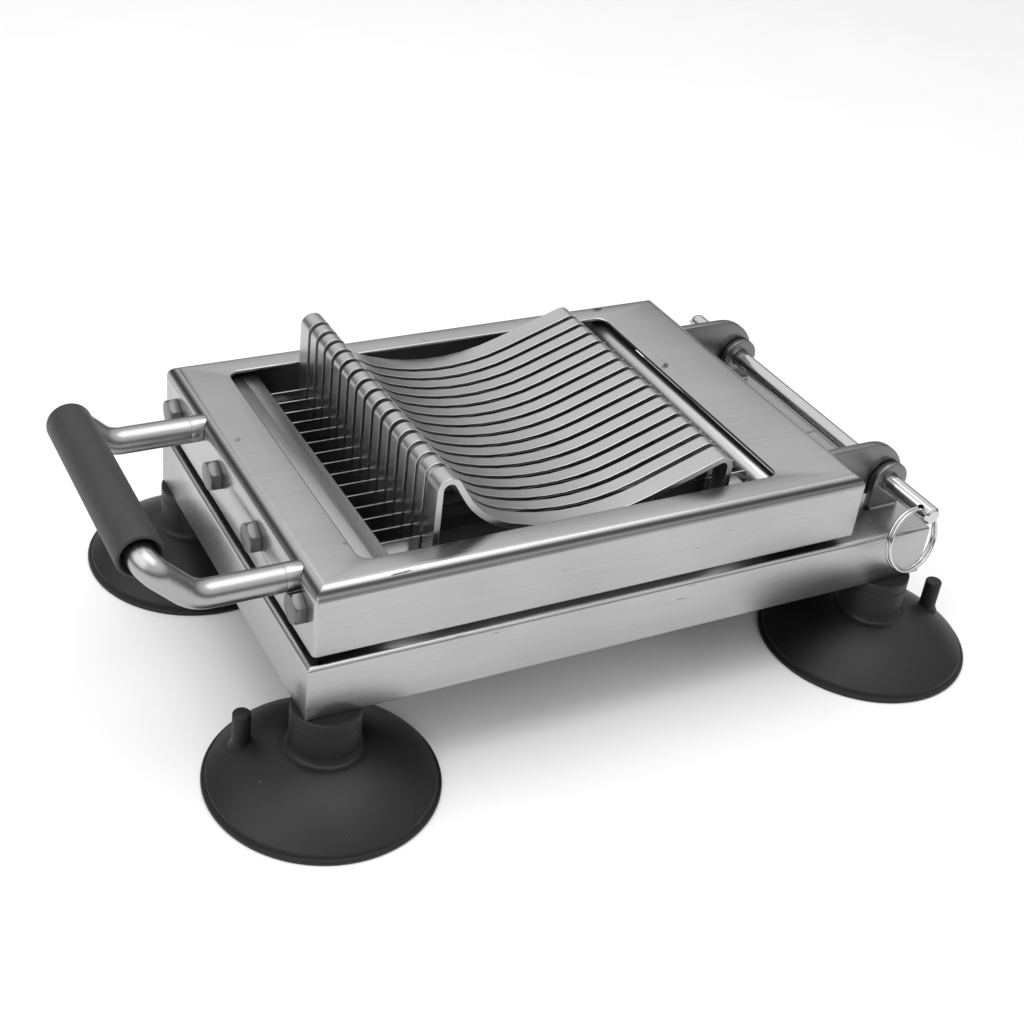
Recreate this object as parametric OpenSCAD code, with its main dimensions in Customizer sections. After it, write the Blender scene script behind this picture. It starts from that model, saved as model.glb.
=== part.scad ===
// Hand-pressed slicer for soft vegetables, standing on four suction cups.
// A slotted tray is fixed in the base. Fifteen blades, stretched in a hinged frame,
// come down through its slots. Slices fall through the base.
//
// +Z is up, +X runs from the handle to the hinge, -Y is the front.
// The origin is on the worktop, under the middle of the whole outline.

/* [Base] */
// Length of the base frame, handle end to hinge end
base_length = 335; // [330:1:345]
// Depth of both frames, front to back
frame_depth = 198; // [196:1:204]
// Height of the base frame's walls
base_height = 28.3; // [28:0.1:30]
// Radius along the base frame's top edges
base_edge_r = 2.4; // [2.2:0.1:3]
// Sheet thickness of both frames
sheet = 2; // [1.5:0.1:2]

/* [Blade frame] */
// Length of the hinged frame
top_length = 282.8; // [280:0.2:284]
// Height of the hinged frame's walls
top_height = 33.8; // [33:0.1:34.5]
// Gap between the two frames when closed
frame_gap = 5.2; // [5:0.1:6]
// Radius along the hinged frame's top edges
top_edge_r = 7; // [6:0.5:8]
// Radius of the hinged frame's upright corners
top_corner_r = 2.2; // [2.2:0.1:3]
// Length of the window in the hinged frame
window_length = 215; // [213:1:217]
// Depth of the window, front to back
window_depth = 165.5; // [163:0.5:168]

/* [Blades] */
// Number of blades
blade_count = 15; // [11:2:15]
// Distance between blades
blade_pitch = 9.525; // [9.4:0.005:9.6]
// Thickness of a blade
blade_t = 0.8; // [0.6:0.1:1]
// Height of a blade
blade_h = 13; // [12:0.5:13]

/* [Tray] */
// Sheet thickness of the slotted tray
tray_t = 3; // [2.5:0.1:3.2]
// Depth of the tray, front to back
tray_depth = 156.8; // [154:0.2:158]
// Width of each slot
slot_w = 2.8; // [2.4:0.1:3]
// Top of the tray's left fold, above the base frame's lower edge
tray_rise = 96.5; // [95:0.5:97]

/* [Hinge] */
// Diameter of the hinge pin
pin_d = 9.4; // [9:0.1:9.6]
// Thickness of each hinge ear
ear_t = 4.2; // [4:0.1:4.4]
// Outer diameter of the split ring
ring_d = 34; // [32:0.5:35]
// Thickness of the ring's wire
wire_d = 1.6; // [1.4:0.1:1.8]

/* [Handle] */
// Diameter of the handle's tube
tube_d = 12.7; // [12:0.1:13]
// Distance between the handle's two legs
handle_span = 123; // [122:1:128]
// How far the grip stands above the legs
handle_rise = 18.6; // [17:0.2:20]
// Diameter of the rubber grip
grip_d = 20.5; // [19:0.5:21]

/* [Feet] */
// Diameter of a suction cup's rim
cup_d = 107.4; // [104:0.2:108]
// Height of a suction cup, worktop to base frame
cup_h = 44; // [43:0.5:46]
// Diameter of the cup's neck
neck_d = 32; // [30:0.5:33]
// Depth of the hollow under a cup
cup_hollow = 10; // [9:0.5:11]

/* [Hidden] */
$fn = 64;

BLADES = [for (i = [1:blade_count]) str("blade_", i)];
CORNERS = ["front_left", "front_right", "back_left", "back_right"];

// Play between pieces that only lie side by side, and radial play of the hinge pin
play = 0.3;
pin_play = 0.05;
eps = 0.01;

// Places along X are measured from the base frame's left wall, cx0, whose own place
// puts the origin under the middle of the whole outline.
cup_r = cup_d / 2;
cup_in_x_left = 13.3;
cup_in_x_right = 18.5;
cup_in_y = 8.7;
grip_out = 61.5;
cx0 = -(base_length - cup_in_x_right + cup_r - grip_out - grip_d / 2) / 2;
cup_x = [cx0 + cup_in_x_left, cx0 + base_length - cup_in_x_right];
cup_y = frame_depth / 2 - cup_in_y;

// Heights
base_z = cup_h;
base_top = base_z + base_height;
top_z = base_top + frame_gap;
top_top = top_z + top_height;

// Hinged frame
top_x = cx0 + 1.7;
window_x = cx0 + 28;
window_r = 6;
top_right = top_x + top_length;

// Hinge
pin_r = pin_d / 2;
pin_x = cx0 + 323.1;
pin_z = base_top + 14.3;
pin_front = -frame_depth / 2 - 10.3;
pin_back = frame_depth / 2 + 7.5;
ear_bore_r = pin_r + pin_play;
ear_gap = 0.4;
ear_front_y = -76;
ear_back_y = 58.6;
base_ear_r = 10.4;
base_ear_foot = 19;
top_ear_r = 10.2;
top_ear_corner_r = 24;
top_ear_top = top_top - 3.3;
// The ear's lower edge runs from the wall to the underside of its hub
ear_web_drop = 2;
ear_hub_dx = 4;
ear_hub_rise = [1, 0.6];

// Cross hole of the pin and the split ring in it: the hole leans up to the left, and
// the ring hangs a little out from the front wall.
ring_hole_r = 2;
ring_hole_y = -frame_depth / 2 - 4;
ring_lean = 29;
ring_out = 14;
ring_wire_r = wire_d / 2;
ring_mean_r = ring_d / 2 - ring_wire_r;
coil_step = 0.45 * wire_d;

// Blades and what holds them
blade_z = base_z + 48;
blade_top = blade_z + blade_h;
rod_r = 6.5;
rod_x = cx0 + 243.5;
rod_z = base_z + 56;
blade_left = cx0 + 25;
blade_shoulder = rod_x - rod_r - 1;
tongue_end = rod_x + 0.5;
tongue_z = [blade_z + 0.5, rod_z + 1];
keeper_left_r = 2;
keeper_left = [cx0 + 31, blade_z + 5];
keeper_right_r = 1.5;
keeper_right = [rod_x - 2.5, rod_z - 3];
keeper_play = 0.05;
bar_x = [cx0 + 14, cx0 + 43.6];
bar_step_x = cx0 + 36;
bar_step = 0.35;
bar_z = [blade_z - 2.5, base_z + 63.4];
bar_half = frame_depth / 2 - 5;
saw_w = blade_t + 0.2;
rod_half = frame_depth / 2 - sheet - play;
bracket_t = 4;
bracket_w = 22;
bracket_drop = 11;

// Tension bolts: M8 hexagon heads
bolt_y = [-84.2, -30.6, 21.4, 80.2];
bolt_z = base_z + 50.4;
bolt_r = 4;
bolt_flats = 13;
bolt_head_h = 5.3;
bolt_cone = [2.6, -0.9];
bolt_tip = cx0 + 23;

// Tray: one bent strip, drawn along its middle line from the foot of the left leg
tray_x = cx0 + 63.6;
tray_right = cx0 + 218;
tray_foot = base_z + 11;
fold_r = 4.5;
dip_start = -60;
dip_middle = -20;
dip_end = 19.5;
dip_steep_l = 8.7;
dip_r = [44, 110];
slot_foot = blade_z - 3;
bend_step = 6;
leg_l = base_z + tray_rise - fold_r - tray_t / 2 - tray_foot;
// Width that the strip covers before its last straight run, whose length makes up the rest
dip_w = fold_r * (1 - sin(dip_start)) + dip_steep_l * cos(dip_start)
      + dip_r[0] * (sin(dip_middle) - sin(dip_start))
      + dip_r[1] * (sin(dip_end) - sin(dip_middle))
      + fold_r * (1 + sin(dip_end));
ramp_l = (tray_right - tray_x - tray_t - dip_w) / cos(dip_end);
// Length of the right lip, which ends level with the left leg
lip_l = leg_l + fold_r * (cos(dip_start) - cos(dip_end)) + dip_steep_l * sin(dip_start)
      + dip_r[0] * (cos(dip_start) - cos(dip_middle))
      + dip_r[1] * (cos(dip_middle) - cos(dip_end)) + ramp_l * sin(dip_end);
TRAY_STRIP = [
    ["run", leg_l], ["bend", fold_r, dip_start - 90], ["run", dip_steep_l],
    ["bend", dip_r[0], dip_middle - dip_start], ["bend", dip_r[1], dip_end - dip_middle],
    ["run", ramp_l], ["bend", fold_r, -90 - dip_end], ["run", lip_l]];

// Crossbars that carry the tray, and their screws
crossbar_w = 8;
crossbar_h = 16;
crossbar_half = frame_depth / 2 - base_edge_r - play;
screw_y = [-60, 0, 60];
screw_z = base_z + 21;
screw_r = 2.5;
screw_head_r = 4.75;
screw_head_h = 2.8;

// Handle: the legs leave the wall level, rise, and turn into the grip's bar
handle_y = -13.9;
handle_z = base_z + 60.4;
collar_l = 5.5;
collar_in = 3;
tube_r = tube_d / 2;
tube_wall = 1.5;
grip_x = cx0 - grip_out;
grip_z = handle_z + handle_rise;
rise_from = cx0 - 42;
rise_angle = atan2(handle_rise, rise_from - grip_x);
rise_bend_r = 16;
corner_bend_r = 7.5;
rise_rings = 5;
corner_rings = 9;
tube_sides = 20;

// Middle line of the bent tube as [point, direction] pairs: the front half, which leaves
// the collar, rises and turns into the bar, and then its mirror image
half_span = handle_span / 2;
slope = [-cos(rise_angle), 0, sin(rise_angle)];
rise_start = rise_from + rise_bend_r * tan(rise_angle / 2);
FRONT_LINE = concat(
    [[[top_x - collar_l, -half_span, handle_z], [-1, 0, 0]]],
    [for (k = [0:rise_rings]) let (a = rise_angle * k / rise_rings)
        [[rise_start - rise_bend_r * sin(a), -half_span, handle_z + rise_bend_r * (1 - cos(a))],
         [-cos(a), 0, sin(a)]]],
    [for (k = [0:corner_rings]) let (a = 90 * k / corner_rings)
        [[grip_x, -half_span, grip_z] - slope * corner_bend_r * (1 - sin(a))
            + [0, corner_bend_r * (1 - cos(a)), 0],
         slope * cos(a) + [0, sin(a), 0]]]);
TUBE_LINE = concat(FRONT_LINE, [for (k = [len(FRONT_LINE) - 1:-1:0])
    let (p = FRONT_LINE[k][0], d = FRONT_LINE[k][1]) [[p[0], -p[1], p[2]], [-d[0], d[1], -d[2]]]]);

// Suction cups: the rim's lip, the dome, and the fillet under the neck
neck_h = 21.5;
neck_r = neck_d / 2;
dome_foot = 2.2;
dome_power = 2.2;
dome_top_r = 20;
dome_rise = cup_h - neck_h - 3.2;
dome_edge = 1.2;
dome_rings = 10;
hollow_r = cup_r - 3;
cup_lip = [[cup_r - 0.4, 0], [cup_r, 0.8], [cup_r, 1.7]];
neck_fillet = [[neck_r + 2.2, 21.2], [neck_r + 0.7, 22.4], [neck_r, 24.5]];
tab_chamfer = 1;
tab_sunk = 2;
washer_t = 1.6;
washer_r = 6;
nut_flats = 10;
nut_h = 5;
stud_r = 3;
thread_play = 0.1;
stud_z = [cup_h - 14, cup_h + 12];
plate_size = 44;
plate_t = 3;
tab_r = 4.2;
tab_h = 17;
tab_at = 37;
tab_angles = [148, -8, 212, 0];

// Stop pads under the tension bar
pad_x = cx0 + 24;
pad_y = 84;
pad_r = 6;

// ---------------------------------------------------------------- shared shapes

// Rounded rectangle from its low corner
module round_rect(w, d, r) {
    translate([r, 0]) square([w - 2 * r, d]);
    translate([0, r]) square([w, d - 2 * r]);
    for (x = [r, w - r], y = [r, d - r]) translate([x, y]) circle(r);
}

// Rectangle with only its two upper corners rounded
module round_top(w, h, r) {
    square([w, h - r]);
    translate([r, 0]) square([w - 2 * r, h]);
    for (x = [r, w - r]) translate([x, h - r]) circle(r);
}

// Extrusion along Y of a shape drawn in X and Z
module along_y(y0, y1) {
    translate([0, y1, 0]) rotate([90, 0, 0]) linear_extrude(y1 - y0) children();
}

// Block whose top edges, and with plan_r its upright edges, are rounded
module pan_block(x, y, z, l, w, h, r, plan_r) {
    intersection() {
        translate([x, 0, z]) along_y(y, y + w) round_top(l, h, r);
        translate([x, y, z]) rotate([90, 0, 90]) linear_extrude(l) round_top(w, h, r);
        translate([x, y, z - eps]) linear_extrude(h + 2 * eps)
            if (plan_r > 0) round_rect(l, w, plan_r); else square([l, w]);
    }
}

// Pan of bent sheet, open below
module pan(x, z, l, h, r, plan_r) {
    difference() {
        pan_block(x, -frame_depth / 2, z, l, frame_depth, h, r, plan_r);
        pan_block(x + sheet, -frame_depth / 2 + sheet, z - 1, l - 2 * sheet,
            frame_depth - 2 * sheet, h + 1 - sheet, r - sheet, max(plan_r - sheet, 0));
    }
}

// Outside of the hinged frame, without its hollow
module top_block() {
    pan_block(top_x, -frame_depth / 2, top_z, top_length, frame_depth, top_height,
        top_edge_r, top_corner_r);
}

// Round bar along Y
module rod_y(x, z, r, y0, y1) {
    translate([x, y0, z]) rotate([-90, 0, 0]) cylinder(h = y1 - y0, r = r);
}

// Round bar along X
module rod_x_dir(x0, x1, y, z, r) {
    translate([x0, y, z]) rotate([0, 90, 0]) cylinder(h = x1 - x0, r = r);
}

// Middle line of a bent strip of sheet: [x, z, heading] at each point of its straight
// runs and bends, each of which starts where the last one ended
function strip_line(steps, at, i = 0) = i == len(steps) ? [at] :
    steps[i][0] == "run" ? concat([at], strip_line(steps, run_end(at, steps[i][1]), i + 1)) :
    let (n = ceil(abs(steps[i][2]) / bend_step), part = steps[i][2] / n)
        concat([for (k = [0:n - 1]) bend_end(at, steps[i][1], part * k)],
            strip_line(steps, bend_end(at, steps[i][1], steps[i][2]), i + 1));
function run_end(at, l) = [at[0] + l * cos(at[2]), at[1] + l * sin(at[2]), at[2]];
function bend_end(at, r, turn) = let (s = sign(turn) * r)
    [at[0] + s * (sin(at[2] + turn) - sin(at[2])), at[1] + s * (cos(at[2]) - cos(at[2] + turn)),
     at[2] + turn];
// Outline of the strip, its faces t / 2 to either side of the middle line
function strip_outline(line, t) = concat(
    [for (p = line) [p[0] - t / 2 * sin(p[2]), p[1] + t / 2 * cos(p[2])]],
    [for (k = [len(line) - 1:-1:0]) let (p = line[k])
        [p[0] + t / 2 * sin(p[2]), p[1] - t / 2 * cos(p[2])]]);

function blade_y(i) = (i - (blade_count + 1) / 2) * blade_pitch;

// ---------------------------------------------------------------- base

module base_frame() {
    margin = 1.6;
    color([0.72, 0.72, 0.71]) difference() {
        pan(cx0, base_z, base_length, base_height, base_edge_r, 0);
        translate([tray_x - margin, -tray_depth / 2 - margin, base_top - sheet - 1])
            cube([tray_right - tray_x + 2 * margin, tray_depth + 2 * margin, sheet + 2]);
    }
}

// Flat bar welded under the base frame's top, drilled for the tray's screws
module crossbar(x) {
    z = base_top - sheet - crossbar_h;
    color([0.66, 0.66, 0.65]) difference() {
        translate([x, -crossbar_half, z]) cube([crossbar_w, 2 * crossbar_half, crossbar_h]);
        for (y = screw_y) rod_x_dir(x - 1, x + crossbar_w + 1, y, screw_z, screw_r);
    }
}
module crossbar_left() { crossbar(tray_x - crossbar_w); }
module crossbar_right() { crossbar(tray_right); }

module tray() {
    color([0.66, 0.66, 0.65]) difference() {
        along_y(-tray_depth / 2, tray_depth / 2) polygon(strip_outline(
            strip_line(TRAY_STRIP, [tray_x + tray_t / 2, tray_foot, 90]), tray_t));
        for (i = [1:blade_count])
            translate([tray_x - 1, blade_y(i) - slot_w / 2, slot_foot])
                cube([tray_right - tray_x + 2, slot_w, tray_rise]);
        for (y = screw_y, x = [tray_x - 1, tray_right - tray_t - 1])
            rod_x_dir(x, x + tray_t + 2, y, screw_z, screw_r);
    }
}
module tray_screw(x, dir, y) {
    shank_l = tray_t + crossbar_w;
    translate([x, y, screw_z]) rotate([0, dir * 90, 0]) {
        cylinder(h = screw_head_h, r1 = screw_head_r, r2 = screw_head_r - 1);
        translate([0, 0, -shank_l]) cylinder(h = shank_l + eps, r = screw_r - pin_play);
    }
}
module tray_screws() {
    color([0.55, 0.55, 0.55]) for (y = screw_y) {
        tray_screw(tray_x + tray_t, 1, y);
        tray_screw(tray_right - tray_t, -1, y);
    }
}

// Plate welded across a lower corner of the base frame, drilled for the cup's stud
module corner_plate(sx, sy) {
    x = sx < 0 ? cx0 + sheet : cx0 + base_length - sheet - plate_size;
    y = sy < 0 ? -frame_depth / 2 + sheet : frame_depth / 2 - sheet - plate_size;
    color([0.6, 0.6, 0.6]) difference() {
        translate([x, y, base_z]) cube([plate_size, plate_size, plate_t]);
        translate([cup_x[sx < 0 ? 0 : 1], sy * cup_y, base_z - 1])
            cylinder(h = plate_t + 2, r = stud_r + play);
    }
}

// ---------------------------------------------------------------- feet

// Outer height of the cup's dome at a radius, and of the hollow under it
function fall(r) = 1 - pow(r / cup_r, dome_power);
function dome_z(r) = dome_foot + dome_rise * fall(r) / fall(dome_top_r);
function hollow_z(r) = cup_hollow * (1 - pow(r / hollow_r, 2));

module suction_cup(sx, sy, tab_angle) {
    n = dome_rings;
    dome_w = cup_r - dome_edge - dome_top_r;
    dome = [for (k = [0:n]) let (r = cup_r - dome_edge - k * dome_w / n) [r, dome_z(r)]];
    hollow = [for (k = [0:n]) let (r = k * hollow_r / n) [r, hollow_z(r)]];
    translate([cup_x[sx < 0 ? 0 : 1], sy * cup_y, 0]) color([0.09, 0.09, 0.09]) difference() {
        union() {
            rotate_extrude() polygon(concat(hollow, cup_lip, dome, neck_fillet,
                [[neck_r, cup_h], [0, cup_h]]));
            rotate([0, 0, tab_angle]) translate([tab_at, 0, dome_z(tab_at) - tab_sunk]) {
                cylinder(h = tab_h + tab_chamfer, r = tab_r);
                translate([0, 0, tab_h + tab_chamfer - eps])
                    cylinder(h = tab_chamfer, r1 = tab_r, r2 = tab_r - tab_chamfer);
            }
        }
        translate([0, 0, stud_z[0]]) cylinder(h = cup_h, r = stud_r);
    }
}

module cup_places() {
    for (x = cup_x, y = [-cup_y, cup_y]) translate([x, y, 0]) children();
}
module cup_studs() {
    color([0.6, 0.6, 0.6]) cup_places()
        translate([0, 0, stud_z[0]]) cylinder(h = stud_z[1] - stud_z[0], r = stud_r);
}
module cup_washers() {
    color([0.6, 0.6, 0.6]) cup_places() translate([0, 0, base_z + plate_t]) difference() {
        cylinder(h = washer_t, r = washer_r);
        translate([0, 0, -1]) cylinder(h = washer_t + 2, r = stud_r + thread_play);
    }
}
module cup_nuts() {
    color([0.6, 0.6, 0.6]) cup_places() translate([0, 0, base_z + plate_t + washer_t]) difference() {
        cylinder(h = nut_h, r = nut_flats / 2 / cos(30), $fn = 6);
        translate([0, 0, -1]) cylinder(h = nut_h + 2, r = stud_r);
    }
}

module stop_pad(y) {
    color([0.1, 0.1, 0.1]) translate([pad_x, y, base_top])
        cylinder(h = bar_z[0] - base_top - play, r1 = pad_r, r2 = pad_r - 1);
}
module stop_pad_front() { stop_pad(-pad_y); }
module stop_pad_back() { stop_pad(pad_y); }

// ---------------------------------------------------------------- hinge

// Ear welded on top of the base frame, rounded about the pin
module base_ear(y) {
    color([0.74, 0.74, 0.73]) difference() {
        along_y(y, y + ear_t) {
            translate([pin_x, pin_z]) circle(base_ear_r);
            translate([pin_x - base_ear_r, base_top]) square([base_ear_foot, pin_z - base_top]);
            polygon([[pin_x - base_ear_r, pin_z], [pin_x - base_ear_r, base_top],
                [pin_x - base_ear_r + base_ear_foot, base_top], [pin_x + base_ear_r, pin_z]]);
        }
        rod_y(pin_x, pin_z, ear_bore_r, y - 1, y + ear_t + 1);
    }
}
module base_ear_front() { base_ear(ear_front_y); }
module base_ear_back() { base_ear(ear_back_y); }

// Ear welded to the hinged frame's right wall, beside the base's ear
module top_ear(y) {
    y0 = y + ear_t + ear_gap;
    corner = [pin_x + top_ear_r - sqrt(pow(top_ear_corner_r, 2)
        - pow(pin_z - top_ear_top + top_ear_corner_r, 2)), top_ear_top - top_ear_corner_r];
    inside = top_right - top_edge_r;
    color([0.74, 0.74, 0.73]) difference() {
        along_y(y0, y0 + ear_t) {
            translate([pin_x, pin_z]) circle(top_ear_r);
            translate([inside, pin_z]) square([corner[0] - inside, top_ear_top - pin_z]);
            intersection() {
                translate(corner) circle(top_ear_corner_r);
                translate([corner[0], pin_z]) square(top_ear_corner_r);
            }
            polygon([[inside, pin_z], [inside, pin_z - ear_web_drop],
                [pin_x - ear_hub_dx, pin_z - top_ear_r + ear_hub_rise[0]],
                [pin_x, pin_z - top_ear_r + ear_hub_rise[1]], [pin_x, pin_z]]);
        }
        top_block();
        rod_y(pin_x, pin_z, ear_bore_r, y0 - 1, y0 + ear_t + 1);
    }
}
module top_ear_front() { top_ear(ear_front_y); }
module top_ear_back() { top_ear(ear_back_y); }

module hinge_pin() {
    chamfer = 1.2;
    color([0.8, 0.8, 0.8]) difference() {
        union() {
            rod_y(pin_x, pin_z, pin_r, pin_front + chamfer, pin_back - pin_r);
            translate([pin_x, pin_front, pin_z]) rotate([-90, 0, 0])
                cylinder(h = chamfer, r1 = pin_r - chamfer, r2 = pin_r);
            translate([pin_x, pin_back - pin_r, pin_z]) sphere(pin_r);
        }
        translate([pin_x, ring_hole_y, pin_z]) rotate([0, ring_lean, 0]) rotate([0, 90, 0])
            cylinder(h = 4 * pin_r, r = ring_hole_r, center = true);
    }
}

// Two turns of wire, side by side, hung in the pin's cross hole
module split_ring() {
    color([0.8, 0.8, 0.8]) translate([pin_x, ring_hole_y, pin_z]) rotate([0, ring_lean, 0])
        rotate([-ring_out, 0, 0]) translate([0, 0, 0.4 - ring_mean_r]) rotate([90, 0, 0])
        for (s = [-1, 1]) translate([0, 0, s * coil_step])
            rotate_extrude() translate([ring_mean_r, 0]) circle(ring_wire_r, $fn = 24);
}

// ---------------------------------------------------------------- hinged frame

module top_frame() {
    color([0.74, 0.74, 0.73]) difference() {
        pan(top_x, top_z, top_length, top_height, top_edge_r, top_corner_r);
        translate([window_x, -window_depth / 2, top_top - sheet - 1])
            linear_extrude(sheet + 2) round_rect(window_length, window_depth, window_r);
        for (y = bolt_y) rod_x_dir(top_x - 1, top_x + sheet + 1, y, bolt_z, bolt_r + 0.2);
    }
}

// Bar that the four bolts pull to the left, sawn from below for the blades
module tension_bar() {
    color([0.72, 0.72, 0.71]) difference() {
        union() {
            translate([bar_x[0], -bar_half, bar_z[0]])
                cube([bar_step_x - bar_x[0], 2 * bar_half, bar_z[1] - bar_z[0]]);
            translate([bar_step_x - eps, -bar_half, bar_z[0]])
                cube([bar_x[1] - bar_step_x + eps, 2 * bar_half, bar_z[1] - bar_z[0] - bar_step]);
        }
        for (i = [1:blade_count])
            translate([blade_left - 1, blade_y(i) - saw_w / 2, bar_z[0] - 1])
                cube([bar_x[1] - blade_left + 2, saw_w, blade_top + play - bar_z[0] + 1]);
        for (y = bolt_y) rod_x_dir(bar_x[0] - 1, bolt_tip + 0.5, y, bolt_z, bolt_r);
        rod_y(keeper_left[0], keeper_left[1], keeper_left_r + keeper_play, -bar_half - 1, bar_half + 1);
    }
}

module tension_bolts() {
    head_r = bolt_flats / 2 / cos(30);
    color([0.7, 0.7, 0.69]) for (y = bolt_y) translate([top_x, y, bolt_z]) rotate([0, -90, 0]) {
        intersection() {
            cylinder(h = bolt_head_h, r = head_r, $fn = 6);
            cylinder(h = bolt_head_h, r1 = head_r + bolt_cone[0], r2 = head_r + bolt_cone[1]);
        }
        translate([0, 0, -(bolt_tip - top_x)])
            cylinder(h = bolt_tip - top_x + eps, r = bolt_r - pin_play);
    }
}

module keeper_pin_left() {
    color([0.6, 0.6, 0.6])
        rod_y(keeper_left[0], keeper_left[1], keeper_left_r, -bar_half, bar_half);
}

// Rod that the blades' right ends hook into, sawn from below
module anchor_rod() {
    color([0.75, 0.75, 0.74]) difference() {
        rod_y(rod_x, rod_z, rod_r, -rod_half, rod_half);
        for (i = [1:blade_count])
            translate([rod_x - 2 * rod_r, blade_y(i) - saw_w / 2, rod_z - 2 * rod_r])
                cube([2 * rod_r + tongue_end - rod_x + play, saw_w, 2 * rod_r + 1 + play]);
        rod_y(keeper_right[0], keeper_right[1], keeper_right_r + keeper_play,
            -rod_half - 1, rod_half + 1);
    }
}

module keeper_pin_right() {
    color([0.6, 0.6, 0.6])
        rod_y(keeper_right[0], keeper_right[1], keeper_right_r, -rod_half, rod_half);
}

// Plate welded inside the frame's wall, with a hole for the rod's end
module rod_bracket(s) {
    y_wall = frame_depth / 2 - sheet;
    y0 = s < 0 ? -y_wall : y_wall - bracket_t;
    z0 = rod_z - bracket_drop;
    color([0.66, 0.66, 0.65]) difference() {
        translate([rod_x - bracket_w / 2, y0, z0])
            cube([bracket_w, bracket_t, top_top - sheet - z0]);
        rod_y(rod_x, rod_z, rod_r + keeper_play, y0 - 1, y0 + bracket_t + 1);
        top_corner_relief();
    }
}
// Room for the bend between the frame's top and its front and back walls
module top_corner_relief() {
    r = top_edge_r - sheet;
    y_wall = frame_depth / 2 - sheet;
    for (s = [-1, 1]) difference() {
        translate([rod_x - bracket_w, s > 0 ? y_wall - r : -y_wall - 1, top_top - sheet - r])
            cube([2 * bracket_w, r + 1, r + 1]);
        translate([rod_x - bracket_w - 1, s * (y_wall - r), top_top - sheet - r])
            rotate([0, 90, 0]) cylinder(h = 2 * bracket_w + 2, r = r);
    }
}
module rod_bracket_front() { rod_bracket(-1); }
module rod_bracket_back() { rod_bracket(1); }

// One blade: a strip with a hole at the left and a tongue at the right
module blade(i) {
    color([0.8, 0.8, 0.8]) difference() {
        along_y(blade_y(i) - blade_t / 2, blade_y(i) + blade_t / 2) polygon([
            [blade_left, blade_z], [blade_shoulder, blade_z], [blade_shoulder, tongue_z[0]],
            [tongue_end, tongue_z[0]], [tongue_end, tongue_z[1]], [blade_shoulder, tongue_z[1]],
            [blade_shoulder, blade_top], [blade_left, blade_top]]);
        rod_y(keeper_left[0], keeper_left[1], keeper_left_r + keeper_play,
            blade_y(i) - 1, blade_y(i) + 1);
        rod_y(keeper_right[0], keeper_right[1], keeper_right_r + keeper_play,
            blade_y(i) - 1, blade_y(i) + 1);
    }
}

// ---------------------------------------------------------------- handle

function unit(v) = v / norm(v);
// One ring of points about a point of the line; across is never along the tube
function tube_ring(at, r) = let (across = [sin(rise_angle), 0, cos(rise_angle)],
        u = unit(cross(at[1], across)), v = cross(at[1], u))
    [for (j = [0:tube_sides - 1]) let (a = 360 * j / tube_sides) at[0] + r * (u * cos(a) + v * sin(a))];

// Hollow tube swept along a line
module swept_tube(line, r, wall) {
    n = tube_sides;
    m = len(line);
    points = concat([for (p = line) each tube_ring(p, r)], [for (p = line) each tube_ring(p, r - wall)]);
    inner = m * n;
    last = (m - 1) * n;
    faces = concat(
        [for (i = [0:m - 2], j = [0:n - 1]) let (a = i * n + j, b = i * n + (j + 1) % n)
            each [[a, a + n, b + n], [a, b + n, b],
                  [inner + a, inner + b + n, inner + a + n], [inner + a, inner + b, inner + b + n]]],
        [for (j = [0:n - 1]) let (a = j, b = (j + 1) % n)
            each [[a, b, inner + b], [a, inner + b, inner + a],
                  [last + a, inner + last + b, last + b], [last + a, inner + last + a, inner + last + b]]]);
    polyhedron(points, faces);
}
module handle_tube() {
    color([0.72, 0.72, 0.71]) translate([0, handle_y, 0]) swept_tube(TUBE_LINE, tube_r, tube_wall);
}

// Stub of the tube, welded against the frame's wall and the bend above it
module handle_collar(y) {
    color([0.72, 0.72, 0.71]) difference() {
        rod_x_dir(top_x - collar_l, top_x + collar_in, y, handle_z, tube_r);
        top_block();
    }
}
module handle_collar_front() { handle_collar(handle_y - handle_span / 2); }
module handle_collar_back() { handle_collar(handle_y + handle_span / 2); }

module handle_grip() {
    half = handle_span / 2 - corner_bend_r;
    round_r = 1.5;
    color([0.1, 0.1, 0.1]) translate([grip_x, handle_y, grip_z]) rotate([90, 0, 0])
        rotate_extrude() translate([tube_r, -half]) {
            w = grip_d / 2 - tube_r;
            square([w - round_r, 2 * half]);
            translate([0, round_r]) square([w, 2 * (half - round_r)]);
            for (z = [round_r, 2 * half - round_r]) translate([w - round_r, z]) circle(round_r, $fn = 24);
        }
}

// ---------------------------------------------------------------- assembly

base_frame();
crossbar_left();
crossbar_right();
tray();
tray_screws();
for (k = [0:3]) {
    sx = k % 2 == 0 ? -1 : 1;
    sy = k < 2 ? -1 : 1;
    corner_plate(sx, sy);
    suction_cup(sx, sy, tab_angles[k]);
}
cup_studs();
cup_washers();
cup_nuts();
stop_pad_front();
stop_pad_back();
base_ear_front();
base_ear_back();
top_frame();
top_ear_front();
top_ear_back();
rod_bracket_front();
rod_bracket_back();
tension_bar();
tension_bolts();
keeper_pin_left();
anchor_rod();
keeper_pin_right();
handle_collar_front();
handle_collar_back();
handle_tube();
handle_grip();
hinge_pin();
split_ring();
for (i = [1:blade_count])
    blade(i);
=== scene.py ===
import math

import bmesh
import bpy
from mathutils import Matrix, Vector


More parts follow.
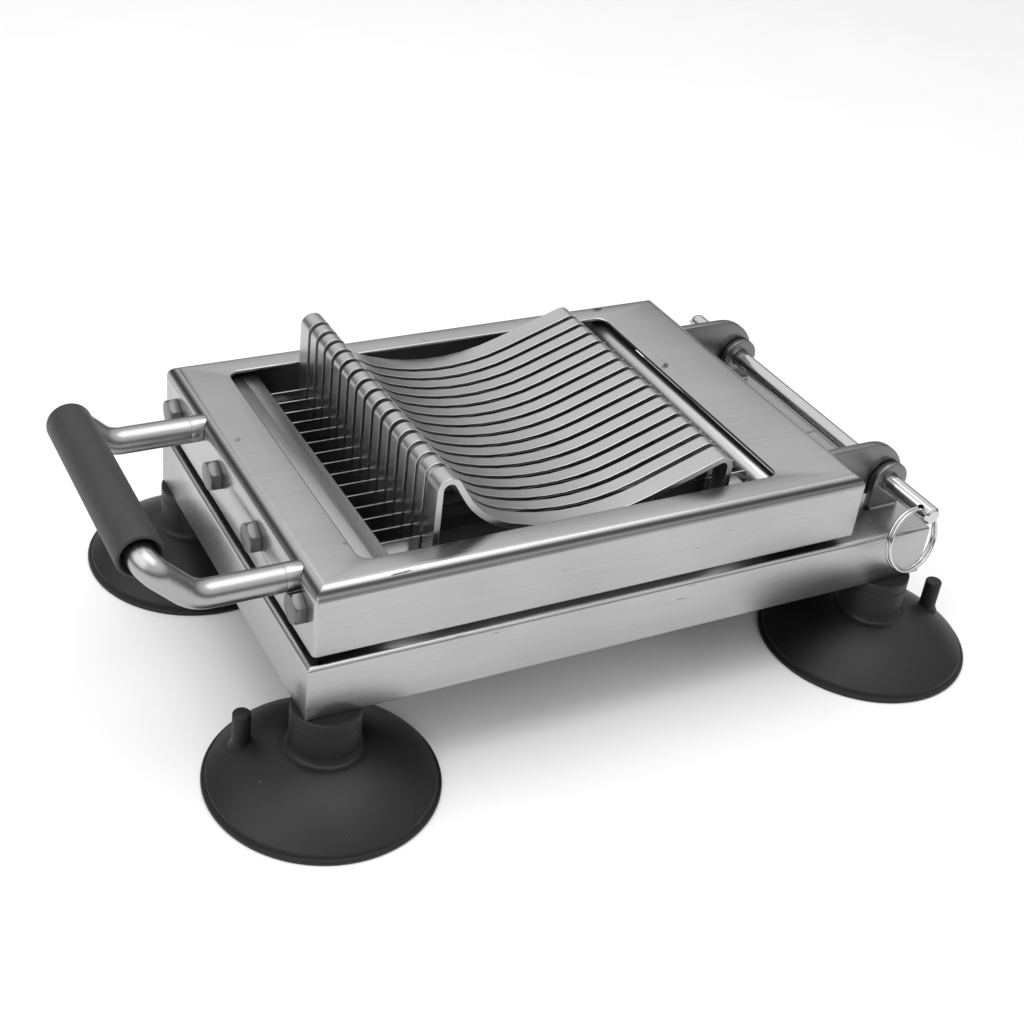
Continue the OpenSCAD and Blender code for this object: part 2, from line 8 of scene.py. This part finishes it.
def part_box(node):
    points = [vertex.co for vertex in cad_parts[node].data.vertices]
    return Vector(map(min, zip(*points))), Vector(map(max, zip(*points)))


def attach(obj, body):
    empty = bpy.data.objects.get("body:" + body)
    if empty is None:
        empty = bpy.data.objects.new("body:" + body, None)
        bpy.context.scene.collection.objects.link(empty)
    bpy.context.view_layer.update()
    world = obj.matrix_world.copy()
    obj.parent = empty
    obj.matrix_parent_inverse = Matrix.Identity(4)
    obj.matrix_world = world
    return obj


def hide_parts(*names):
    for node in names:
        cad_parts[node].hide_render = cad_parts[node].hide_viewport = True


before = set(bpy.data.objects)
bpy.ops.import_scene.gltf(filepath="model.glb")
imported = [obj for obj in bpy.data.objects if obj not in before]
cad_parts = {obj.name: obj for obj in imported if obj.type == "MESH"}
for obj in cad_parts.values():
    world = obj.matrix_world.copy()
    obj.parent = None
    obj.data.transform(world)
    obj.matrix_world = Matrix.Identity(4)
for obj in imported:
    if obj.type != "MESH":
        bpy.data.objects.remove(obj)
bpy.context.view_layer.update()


# ---------------------------------------------------------------- table, lamps and camera
# The slicer stands on a pale matt table in a light tent: a white surround with a darker gap
# just above the table's edge, a broad lamp overhead, and one at the handle end.
scene = bpy.context.scene
scene.view_settings.view_transform = "Standard"
scene.world = bpy.data.worlds.new("tent")
scene.world.use_nodes = True
tent = scene.world.node_tree
around = tent.nodes.new("ShaderNodeTexCoord")
height = tent.nodes.new("ShaderNodeSeparateXYZ")
cloth = tent.nodes.new("ShaderNodeValToRGB")
for stop, (at, grey) in zip(cloth.color_ramp.elements, ((0.24, 0.14), (0.52, 1))):
    stop.position, stop.color = at, (grey, grey, grey, 1)
tent.links.new(around.outputs["Generated"], height.inputs[0])
tent.links.new(height.outputs["Z"], cloth.inputs[0])
tent.links.new(cloth.outputs["Color"], tent.nodes["Background"].inputs["Color"])
tent.nodes["Background"].inputs["Strength"].default_value = 1.0


def soft_lamp(name, place, aim, width, watts):
    lamp = bpy.data.lights.new(name, "AREA")
    lamp.size, lamp.energy = width, watts
    stand = bpy.data.objects.new(name, lamp)
    stand.location = place
    stand.rotation_euler = (Vector(aim) - Vector(place)).to_track_quat("-Z", "Y").to_euler()
    scene.collection.objects.link(stand)


middle = (0, 0, 0.08)
soft_lamp("lamp_overhead", (0.1, -0.1, 1.5), middle, 1.2, 9)
soft_lamp("lamp_handle_end", (-1.1, -0.2, 1.0), middle, 1.4, 7)

lens = bpy.data.cameras.new("camera")
lens.lens, lens.sensor_width = 57.67, 36
lens.shift_x, lens.shift_y = 0.0407, -0.0298
camera = bpy.data.objects.new("camera", lens)
camera.location = (-0.3635, -0.5850, 0.5122)
camera.rotation_euler = [math.radians(a) for a in (57.19, -5.59, -26.44)]
scene.collection.objects.link(camera)
scene.camera = camera


class Wire:
    """A socket of a finish's nodes, which sums and products join to Math nodes."""

    def __init__(self, finish, socket):
        self.finish, self.socket = finish, socket

    def _math(self, operation, *values):
        sockets = dict(enumerate(values))
        return self.finish.node("ShaderNodeMath", {"operation": operation}, sockets)

    def __add__(self, other):
        return self._math("ADD", self, other)

    def __radd__(self, other):
        return self._math("ADD", other, self)

    def __sub__(self, other):
        return self._math("SUBTRACT", self, other)

    def __rsub__(self, other):
        return self._math("SUBTRACT", other, self)

    def __mul__(self, other):
        return self._math("MULTIPLY", self, other)

    def __rmul__(self, other):
        return self._math("MULTIPLY", other, self)


class Finish:
    """A material, its slot in the record, and the one way that nodes are added to it."""

    def __init__(self, name, slot, **fixed):
        self.slot = slot
        self.material = bpy.data.materials.new(name)
        self.material.use_nodes = True
        self.tree = self.material.node_tree
        self.surface = self.tree.nodes["Principled BSDF"].inputs
        for socket, value in fixed.items():
            self.surface[socket.replace("_", " ")].default_value = value

    def node(self, kind, settings=None, sockets=None, out=0):
        made = self.tree.nodes.new(kind)
        for name, value in (settings or {}).items():
            setattr(made, name, value)
        for name, value in (sockets or {}).items():
            self.feed(made.inputs[name], value)
        return Wire(self, made.outputs[out])

    def feed(self, socket, value):
        if isinstance(value, Wire):
            self.tree.links.new(value.socket, socket)
        else:
            socket.default_value = value

    def place(self):
        return self.node("ShaderNodeTexCoord", out="Object")

    def noise(self, scale, detail=3.0):
        sockets = {"Vector": self.place(), "Scale": scale}
        stretched = self.node("ShaderNodeMapping", sockets=sockets)
        sockets = {"Vector": stretched, "Scale": 1.0, "Detail": detail}
        return self.node("ShaderNodeTexNoise", sockets=sockets, out="Fac")

    def band(self, value, low, high):
        """0 below low, 1 above high, and even between."""
        sockets = {"Value": value, "From Min": low, "From Max": high}
        return self.node("ShaderNodeMapRange", {"clamp": True}, sockets)

    def tint(self, mask, first, second):
        """The first grey or colour where the mask is 0, the second where it is 1."""
        pair = [c if isinstance(c, Wire) else (c, c, c, 1) for c in (first, second)]
        sockets = {0: mask, 6: pair[0], 7: pair[1]}
        return self.node("ShaderNodeMix", {"data_type": "RGBA"}, sockets, out=2)

    def relief(self, height, depth):
        sockets = {"Height": height, "Strength": 1.0, "Distance": depth}
        self.feed(self.surface["Normal"], self.node("ShaderNodeBump", sockets=sockets))


def settle(bm, name, body, finish, *replaced, sharp=32):
    """Ends a piece: shaded smooth but for its sharp edges, riding on its body."""
    mesh = bpy.data.meshes.new(name)
    bm.to_mesh(mesh)
    bm.free()
    mesh.materials.append(finish.material)
    mesh.shade_smooth()
    mesh.set_sharp_from_angle(angle=math.radians(sharp))
    piece = bpy.data.objects.new(name, mesh)
    scene.collection.objects.link(piece)
    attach(piece, body)
    if replaced:
        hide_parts(*replaced)
    return piece


table_top = bmesh.new()
bmesh.ops.create_grid(table_top, x_segments=1, y_segments=1, size=4)
table_mesh = bpy.data.meshes.new("table_top")
table_top.to_mesh(table_mesh)
table_top.free()
table_paint = Finish("matt table paint", None, Roughness=0.75)
mottle = table_paint.noise((9, 9, 9), 2.0)
table_paint.feed(table_paint.surface["Base Color"], table_paint.tint(mottle, 0.86, 0.9))
table_mesh.materials.append(table_paint.material)
table = bpy.data.objects.new("table_top", table_mesh)
scene.collection.objects.link(table)


# ---------------------------------------------------------------- base frame
# A pan of 2 mm stainless sheet, bent along its top edges and welded at its corners, then
# ground and brushed lengthwise. The tray's opening is cut in its top. Two flat bars and
# four corner plates are welded inside.
mm = 0.001


def brushed_steel(name, slot, shade, rough, grain, contrast=1.0):
    """Steel brushed along one axis: grain is how fine its lines are along X, Y and Z."""
    steel = Finish(name, slot, Metallic=1.0)
    lines = steel.noise(grain, 4.0)
    cloud = steel.noise((13, 13, 13), 3.0)
    tone = 0.5 + (lines - 0.5) * (0.6 * contrast) + (cloud - 0.5) * (0.9 * contrast)
    steel.tone = steel.tint(tone, shade * 0.78, shade * 1.2)
    steel.rough = rough + (lines - 0.5) * 0.14 + (cloud - 0.5) * 0.12
    steel.feed(steel.surface["Base Color"], steel.tone)
    steel.feed(steel.surface["Roughness"], steel.rough)
    steel.relief(lines, 0.012 * mm)
    return steel


def paint_shade(steel, mask, share):
    """Painted shade: steel made darker and duller where the mask is 1, for a surface in shade.
    """
    steel.tone = steel.tint(mask, steel.tone, share)
    steel.feed(steel.surface["Base Color"], steel.tone)
    steel.rough = steel.rough + mask * 0.2
    steel.feed(steel.surface["Roughness"], steel.rough)


def within(steel, low, high, soft=0.5 * mm):
    """1 inside a box given by two corners, 0 outside it."""
    part = steel.node("ShaderNodeSeparateXYZ", sockets={0: steel.place()})
    mask = 1.0
    for axis in range(3):
        along = Wire(steel, part.socket.node.outputs[axis])
        mask = mask * steel.band(along, low[axis] - soft, low[axis] + soft)
        mask = mask * steel.band(along, high[axis] + soft, high[axis] - soft)
    return mask


along_x, along_y = (18, 1100, 1100), (1100, 18, 1100)


sharp_edge = math.radians(32)


def eased(node, radius, segments=2):
    """The piece as drawn, its sharp edges rounded over."""
    bm = bmesh.new()
    bm.from_mesh(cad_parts[node].data)
    bmesh.ops.remove_doubles(bm, verts=bm.verts, dist=1e-6)
    flat = math.radians(0.4)
    bmesh.ops.dissolve_limit(bm, angle_limit=flat, verts=bm.verts, edges=bm.edges)
    folds = [e for e in bm.edges if len(e.link_faces) == 2]
    corners = [e for e in folds if e.calc_face_angle() > sharp_edge]
    bmesh.ops.bevel(bm, geom=corners, offset=radius, offset_type="OFFSET", segments=segments,
                    profile=0.5, affect="EDGES", material=-1, clamp_overlap=False)
    return bm


def pan_steel(name, node, covered=None):
    """Brushed outside, with a few scuffs on the walls, and painted shade inside."""
    steel = brushed_steel(name, "frame_steel", 0.44, 0.3, along_x)
    low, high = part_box(node)
    inside_shade, skin = 0.07, 1.2 * mm
    wall, lid = Vector((skin, skin, 0)), Vector((0, 0, skin))
    # Painted shade on the pan's inner faces, and on any part of its top given as covered.
    paint_shade(steel, within(steel, low + wall, high - wall - lid), inside_shade)
    if covered:
        paint_shade(steel, within(steel, *covered, soft=2 * mm), inside_shade)
    scuff = steel.band(steel.noise((60, 60, 1100), 2.0), 0.71, 0.76)
    steel.feed(steel.surface["Base Color"], steel.tint(scuff, steel.tone, 0.1))
    return steel


lid_low, lid_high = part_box("top_frame")
base_low, base_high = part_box("base_frame")
lid_wall = 5 * mm
# The base's top where the lid covers it gets painted shade, as well as its inside.
base_steel = pan_steel("brushed base steel", "base_frame", (
    (lid_low.x + lid_wall, lid_low.y + lid_wall, base_low.z),
    (lid_high.x - lid_wall, lid_high.y - lid_wall, base_high.z + 1 * mm)))
settle(eased("base_frame", 0.5 * mm), "base_pan", "base", base_steel, "base_frame")

# Painted shade: the bars and corner plates inside the pan get a darker copy of the frame's
# steel, for the shade in there.
inner_steel = brushed_steel("inner steel with painted shade", "frame_steel", 0.2, 0.45, along_y)
corner_plates = [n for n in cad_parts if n.startswith("corner_plate")]
for part in ("crossbar_left", "crossbar_right", *corner_plates):
    settle(eased(part, 0.4 * mm), part + "_flat", "base", inner_steel, part)


# ---------------------------------------------------------------- tray
# One strip of 3 mm stainless, slotted, then folded down at both ends and rolled to a dip
# between. Its edges are tumbled round. Six screws hold its legs to the bars.
tray_steel = brushed_steel("tumbled tray steel", "tray_steel", 0.5, 0.32, along_x, 0.8)
tray_height = tray_steel.node("ShaderNodeSeparateXYZ", sockets={0: tray_steel.place()}, out="Z")
# Painted shade: the tray grows darker towards the bottom of its legs, below the blades.
paint_shade(tray_steel, tray_steel.band(tray_height, 108 * mm, 82 * mm), 0.07)
settle(eased("tray", 0.28 * mm), "slotted_tray", "base", tray_steel, "tray", sharp=20)
screw_steel = brushed_steel("screw steel", "fastener_steel", 0.4, 0.28, (300, 300, 300))
settle(eased("tray_screws", 0.3 * mm), "tray_screw_set", "base", screw_steel, "tray_screws")


# ---------------------------------------------------------------- suction cups
# Moulded black rubber, each a thin dome with a lip at its rim, a solid neck with a threaded
# stud moulded in, and an upright tab that is pulled to let the air in.
def spun(bm, outline, steps=96, closed=False):
    """Turns an outline of (radius, height) points about Z."""
    points = [bm.verts.new((r, 0, z)) for r, z in outline]
    pairs = zip(points, points[1:] + points[:1] if closed else points[1:])
    edges = [bm.edges.new(pair) for pair in pairs]
    bmesh.ops.spin(bm, geom=points + edges, cent=(0, 0, 0), axis=(0, 0, 1), angle=math.tau,
                   steps=steps, use_merge=True)
    bmesh.ops.remove_doubles(bm, verts=bm.verts, dist=1e-7)


rim_r, neck_r = 53.7, 16
dome_top_r, dome_foot, dome_rise, dome_power = 20, 2.2, 19.3, 2.2
hollow_deep, hollow_r = 10, 50.7
tab_r, tab_out, tab_h = 4.2, 37, 17


def dome_height(r):
    fall, whole = (1 - (at / rim_r) ** dome_power for at in (r, dome_top_r))
    return dome_foot + dome_rise * fall / whole


def suction_cup(name, tab_angle):
    low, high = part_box(name)
    rings = 24
    shares = [k / rings for k in range(rings + 1)]
    hollow = [(hollow_r * share, hollow_deep * (1 - share ** 2)) for share in shares]
    lip = [(53.1, 0), (53.55, 0.25), (rim_r, 0.8), (53.68, 1.5), (53.35, 1.95), (52.85, 2.1),
           (52.4, 2.0), (52.0, 2.15)]
    outer_r, inner_r = 51.4, 21.2
    dome_radii = [outer_r - (outer_r - inner_r) * share for share in shares]
    dome = [(r, dome_height(r)) for r in dome_radii]
    neck = [(20.4, 21.35), (19.3, 21.5), (18.2, 21.6), (17.3, 21.9), (16.6, 22.6), (16.2, 23.6),
            (neck_r, 25), (neck_r, 37.6), (15.7, 38), (15.7, 38.5), (neck_r, 38.9),
            (neck_r, 43.4), (15.4, 44), (0, 44)]
    bm = bmesh.new()
    spun(bm, [(r * mm, z * mm) for r, z in hollow + lip + dome + neck], 128)
    tab = bmesh.new()
    foot = dome_height(tab_out) - 1.5
    tip = foot + tab_h + 1.5
    spun(tab, [(r * mm, z * mm) for r, z in (
        (0, foot), (tab_r + 1.6, foot), (tab_r + 0.9, foot + 1.6), (tab_r + 0.3, foot + 2.6),
        (tab_r, foot + 4), (tab_r, tip - 1), (tab_r - 0.15, tip - 0.5),
        (tab_r - 0.5, tip - 0.15), (tab_r - 1, tip), (0, tip))], 40)
    out = Matrix.Translation((tab_out * mm, 0, 0))
    round_to = Matrix.Rotation(math.radians(tab_angle), 4, "Z")
    bmesh.ops.transform(tab, matrix=round_to @ out, verts=tab.verts)
    shape = bpy.data.meshes.new(name + "_tab")
    tab.to_mesh(shape)
    tab.free()
    bm.from_mesh(shape)
    centre = ((low.x + high.x) / 2, (low.y + high.y) / 2, 0)
    bmesh.ops.translate(bm, verts=bm.verts, vec=centre)
    bmesh.ops.recalc_face_normals(bm, faces=bm.faces)
    return bm


cup_rubber = Finish("moulded black rubber", "cup_rubber", Specular_IOR_Level=0.34)
grain = cup_rubber.noise((1400, 1400, 1400), 2.0)
bloom = cup_rubber.noise((26, 26, 26), 5.0)
specks = cup_rubber.band(cup_rubber.noise((420, 420, 420), 2.0), 0.73, 0.78)
black = cup_rubber.tint(bloom, 0.004, 0.014)
cup_rubber.feed(cup_rubber.surface["Base Color"], cup_rubber.tint(specks, black, 0.07))
cup_rubber.feed(cup_rubber.surface["Roughness"], 0.3 + bloom * 0.22 + grain * 0.08)
cup_rubber.relief(grain, 0.02 * mm)
tab_angles = {"front_left": 148, "front_right": -8, "back_left": 212, "back_right": 0}
for corner, tab_angle in tab_angles.items():
    cup = "suction_cup_" + corner
    settle(suction_cup(cup, tab_angle), "cup_" + corner, "base", cup_rubber, cup)
for side in ("front", "back"):
    pad = "stop_pad_" + side
    settle(eased(pad, 0.6 * mm, 3), "buffer_" + side, "base", cup_rubber, pad)
for part in ("cup_studs", "cup_washers", "cup_nuts"):
    settle(eased(part, 0.25 * mm), part + "_set", "base", screw_steel, part)


# ---------------------------------------------------------------- hinged blade frame
# A second pan of the same sheet with rounder edges, its window cut and deburred. Inside, a
# flat bar at the handle end and a round rod at the hinge end hold the blades.
settle(eased("top_frame", 0.8 * mm, 3), "blade_pan", "blade_frame",
       pan_steel("brushed blade frame steel", "top_frame"), "top_frame")
bar_steel = brushed_steel("ground bar steel", "frame_steel", 0.44, 0.28, along_y, 0.6)
for part in ("tension_bar", "rod_bracket_front", "rod_bracket_back"):
    settle(eased(part, 0.35 * mm), part + "_bar", "blade_frame", bar_steel, part)
rod_steel = brushed_steel("drawn rod steel", "polished_steel", 0.62, 0.36, along_y)
for part in ("anchor_rod", "keeper_pin_left", "keeper_pin_right"):
    settle(eased(part, 0.12 * mm), part + "_round", "blade_frame", rod_steel, part)


# ---------------------------------------------------------------- blades
# Strips of hardened stainless 0.8 mm thick, ground to an edge below and held by keepers at
# both ends. Their middle is darkened for the shade between the tray's fingers when shut,
# so an open frame shows a dark band there that real blades would not have.
hone_h, edge_t = 3 * mm, 0.2
blade_steel = brushed_steel("ground blade steel", "blade_steel", 0.55, 0.2, along_x)
tray_low, tray_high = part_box("tray")
# Painted shade on the blades' middle, where they pass over the tray.
shade_from = tray_low + Vector((6, 0, 0)) * mm
shade_to = tray_high + Vector((-4, 0, 20)) * mm
paint_shade(blade_steel, within(blade_steel, shade_from, shade_to, soft=2 * mm), 0.05)
for blade in (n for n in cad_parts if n.startswith("blade_")):
    low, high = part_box(blade)
    bm = bmesh.new()
    bm.from_mesh(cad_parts[blade].data)
    bmesh.ops.remove_doubles(bm, verts=bm.verts, dist=1e-6)
    bmesh.ops.bisect_plane(bm, geom=bm.verts[:] + bm.edges[:] + bm.faces[:],
                           plane_co=(0, 0, low.z + hone_h), plane_no=(0, 0, 1))
    edge = [v for v in bm.verts if v.co.z < low.z + 0.1 * mm]
    to_middle = Matrix.Translation((0, -(low.y + high.y) / 2, 0))
    bmesh.ops.scale(bm, verts=edge, vec=(1, edge_t, 1), space=to_middle)
    settle(bm, blade + "_ground", "blade_frame", blade_steel, blade, sharp=10)


# ---------------------------------------------------------------- tension bolts
# Four M8 hexagon bolts of stainless, forged, with the corners of their heads turned off at
# 30 degrees. They draw the bar to the left and stretch the blades.
# Painted shade: the bolts are a darker copy of the screws' steel, for how dark their heads sit
# under the lamps.
bolt_steel = brushed_steel("bolt steel with painted shade", "fastener_steel", 0.14, 0.34, (500, 500, 500))
settle(eased("tension_bolts", 0.25 * mm), "tension_bolt_set", "blade_frame", bolt_steel,
       "tension_bolts")


# ---------------------------------------------------------------- handle
# A 12.7 mm stainless tube bent four times, welded to two collars on the frame's wall, with a
# soft black sleeve pushed over its middle before the last bends.
class Tube:
    """A tube made as it is bent: straight lengths and bends, each from the last ring."""

    def __init__(self, start, heading, radius, sides=48):
        self.bm = bmesh.new()
        self.at, self.heading, self.radius = Vector(start), Vector(heading), radius
        facing = self.heading.to_track_quat("Z", "Y").to_matrix().to_4x4()
        bmesh.ops.create_circle(self.bm, segments=sides, radius=radius,
                                matrix=Matrix.Translation(start) @ facing)
        self.end = self.bm.verts[:] + self.bm.edges[:]

    def run(self, length):
        step = self.heading * length
        self.spin((0, 0, 0), (0, 0, 1), 0, 1, step)
        self.at += step

    def bend(self, towards, radius, angle, steps):
        axis = self.heading.cross(Vector(towards)).normalized()
        centre = self.at + axis.cross(self.heading) * radius
        self.spin(centre, axis, angle, steps, (0, 0, 0))
        turn = Matrix.Rotation(angle, 3, axis)
        self.at, self.heading = centre + turn @ (self.at - centre), turn @ self.heading

    def spin(self, centre, axis, angle, steps, slide):
        moved = bmesh.ops.spin(self.bm, geom=self.end, cent=centre, axis=axis, angle=angle,
                               steps=steps, dvec=slide)
        self.end = moved["geom_last"]

    def done(self):
        bmesh.ops.remove_doubles(self.bm, verts=self.bm.verts, dist=1e-6)
        bmesh.ops.holes_fill(self.bm, edges=self.bm.edges, sides=0)
        bmesh.ops.recalc_face_normals(self.bm, faces=self.bm.faces)
        return self.bm


tube_steel = brushed_steel("brushed tube steel", "tube_steel", 0.38, 0.3, along_y, 0.5)
tube_r = 6.35 * mm
rise_bend, corner_bend, rise_from = 16 * mm, 7.5 * mm, 42 * mm
tube_low, tube_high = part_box("handle_tube")
rise_x = base_low.x - rise_from
leg_z = tube_low.z + tube_r
bar_x, bar_z = tube_low.x + tube_r, tube_high.z - tube_r
leg_y = (tube_low.y + tube_r, tube_high.y - tube_r)
rise_angle = math.atan2(bar_z - leg_z, rise_x - bar_x)
tuck = rise_bend * math.tan(rise_angle / 2)
slant = math.hypot(bar_z - leg_z, rise_x - bar_x) - tuck - corner_bend
stub = tube_high.x - rise_x - tuck
across = leg_y[1] - leg_y[0] - 2 * corner_bend
tube = Tube((tube_high.x, leg_y[0], leg_z), (-1, 0, 0), tube_r)
tube.run(stub)
tube.bend((0, 0, 1), rise_bend, rise_angle, 12)
tube.run(slant)
rising = tube.heading.copy()
tube.bend((0, 1, 0), corner_bend, math.pi / 2, 16)
tube.run(across)
tube.bend(-rising, corner_bend, math.pi / 2, 16)
tube.run(slant)
tube.bend((1, 0, 0), rise_bend, rise_angle, 12)
tube.run(stub)
settle(tube.done(), "bent_tube", "blade_frame", tube_steel, "handle_tube")
for side in ("front", "back"):
    collar = "handle_collar_" + side
    settle(eased(collar, 0.5 * mm), "collar_" + side, "blade_frame", tube_steel, collar)

grip_rubber = Finish("soft grip sleeve", "grip_rubber", Specular_IOR_Level=0.4)
pores = grip_rubber.noise((1100, 1100, 1100), 3.0)
wear = grip_rubber.noise((34, 10, 34), 4.0)
grip_rubber.feed(grip_rubber.surface["Base Color"], grip_rubber.tint(wear, 0.02, 0.045))
grip_rubber.feed(grip_rubber.surface["Roughness"], 0.42 + wear * 0.2)
grip_rubber.relief(pores, 0.05 * mm)
grip_low, grip_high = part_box("handle_grip")
grip_half = (grip_high.y - grip_low.y) / 2 / mm
grip_r, mouth_r, mouth_deep = 10.25, 8.5, 5
half_sleeve = [(6.5, grip_half - mouth_deep - 2), (6.9, grip_half - mouth_deep),
               (mouth_r - 0.3, grip_half - 1.5), (mouth_r, grip_half - 0.5),
               (mouth_r + 0.4, grip_half), (grip_r - 0.7, grip_half),
               (grip_r - 0.2, grip_half - 0.3), (grip_r, grip_half - 1.1),
               (grip_r, grip_half - 12)]
sleeve = bmesh.new()
outline = half_sleeve + [(r, -z) for r, z in reversed(half_sleeve)]
spun(sleeve, [(r * mm, z * mm) for r, z in outline], 72, closed=True)
on_bar = Matrix.Translation((grip_low + grip_high) / 2)
along_bar = Matrix.Rotation(math.pi / 2, 4, "X")
bmesh.ops.transform(sleeve, matrix=on_bar @ along_bar, verts=sleeve.verts)
bmesh.ops.recalc_face_normals(sleeve, faces=sleeve.faces)
settle(sleeve, "grip_sleeve", "blade_frame", grip_rubber, "handle_grip")


# ---------------------------------------------------------------- hinge
# Four laser-cut ears, two welded to each frame, and a pin of polished stainless that pulls
# out by the split ring through its end.
# Painted shade: the ears are a darker copy of the frame's steel, for the shade on their faces.
ear_steel = brushed_steel("ear steel with painted shade", "frame_steel", 0.2, 0.34, along_x, 0.7)
for side in ("front", "back"):
    lower, upper = "base_ear_" + side, "top_ear_" + side
    settle(eased(lower, 0.6 * mm), "lower_ear_" + side, "base", ear_steel, lower)
    settle(eased(upper, 0.6 * mm), "upper_ear_" + side, "blade_frame", ear_steel, upper)


bead_r, ripple_l, ripple_swell = 0.9 * mm, 1.1 * mm, 1.12


def weld(start, end):
    """A weld bead: a row of overlapping ripples between two points."""
    start, end = Vector(start), Vector(end)
    length = (end - start).length
    ripples = round(length / ripple_l)
    bead = Tube(start, (end - start).normalized(), bead_r, 10)
    for ripple in range(ripples):
        for swell in (ripple_swell, 1 / ripple_swell):
            bead.run(length / ripples / 2)
            ring = [v for v in bead.end if isinstance(v, bmesh.types.BMVert)]
            to_end = Matrix.Translation(-bead.at)
            bmesh.ops.scale(bead.bm, verts=ring, vec=(swell, swell, swell), space=to_end)
    return bead.done()


weld_steel = brushed_steel("weld bead steel", "frame_steel", 0.36, 0.3, (700, 700, 700))
for side in ("front", "back"):
    low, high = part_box("base_ear_" + side)
    for face, y in (("near", low.y), ("far", high.y)):
        foot = (low.x + 1 * mm, y, low.z), (high.x - 3 * mm, y, low.z)
        settle(weld(*foot), f"weld_lower_{side}_{face}", "base", weld_steel)
    low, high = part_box("top_ear_" + side)
    for face, y in (("near", low.y), ("far", high.y)):
        seam = (lid_high.x, y, low.z + 13 * mm), (lid_high.x, y, high.z - 4 * mm)
        settle(weld(*seam), f"weld_upper_{side}_{face}", "blade_frame", weld_steel)

pin_steel = brushed_steel("polished pin steel", "polished_steel", 0.6, 0.12, along_y, 0.4)
settle(eased("hinge_pin", 0.15 * mm), "pull_pin", "pin", pin_steel, "hinge_pin")

wire_r, ring_r, coil_gap = 0.8 * mm, 16.2 * mm, 1.0 * mm
ring_lean, ring_out = math.radians(29), math.radians(-14)
ring_top, hole_y = 0.4 * mm, 6.3 * mm
pin_low, pin_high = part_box("hinge_pin")
pin_hole = (pin_low + pin_high) / 2
pin_hole.y = pin_low.y + hole_y
coil_arc, coil_steps = math.radians(345), 92
step_arc, step_steps, cut_at = math.radians(30), 10, math.radians(52)
coil = Tube((ring_r, 0, -coil_gap), (0, 1, 0), wire_r, 16)
for arc, steps, climb in ((coil_arc, coil_steps, 0), (step_arc, step_steps, 2 * coil_gap),
                          (coil_arc, coil_steps, 0)):
    coil.spin((0, 0, 0), (0, 0, 1), arc, steps, (0, 0, climb / steps))
hang = (Matrix.Translation(pin_hole) @ Matrix.Rotation(ring_lean, 4, "Y")
        @ Matrix.Rotation(ring_out, 4, "X") @ Matrix.Translation((0, 0, ring_top - ring_r))
        @ Matrix.Rotation(math.pi / 2, 4, "X") @ Matrix.Rotation(cut_at, 4, "Z"))
ring = coil.done()
bmesh.ops.transform(ring, matrix=hang, verts=ring.verts)
settle(ring, "pull_ring", "ring", pin_steel, "split_ring")
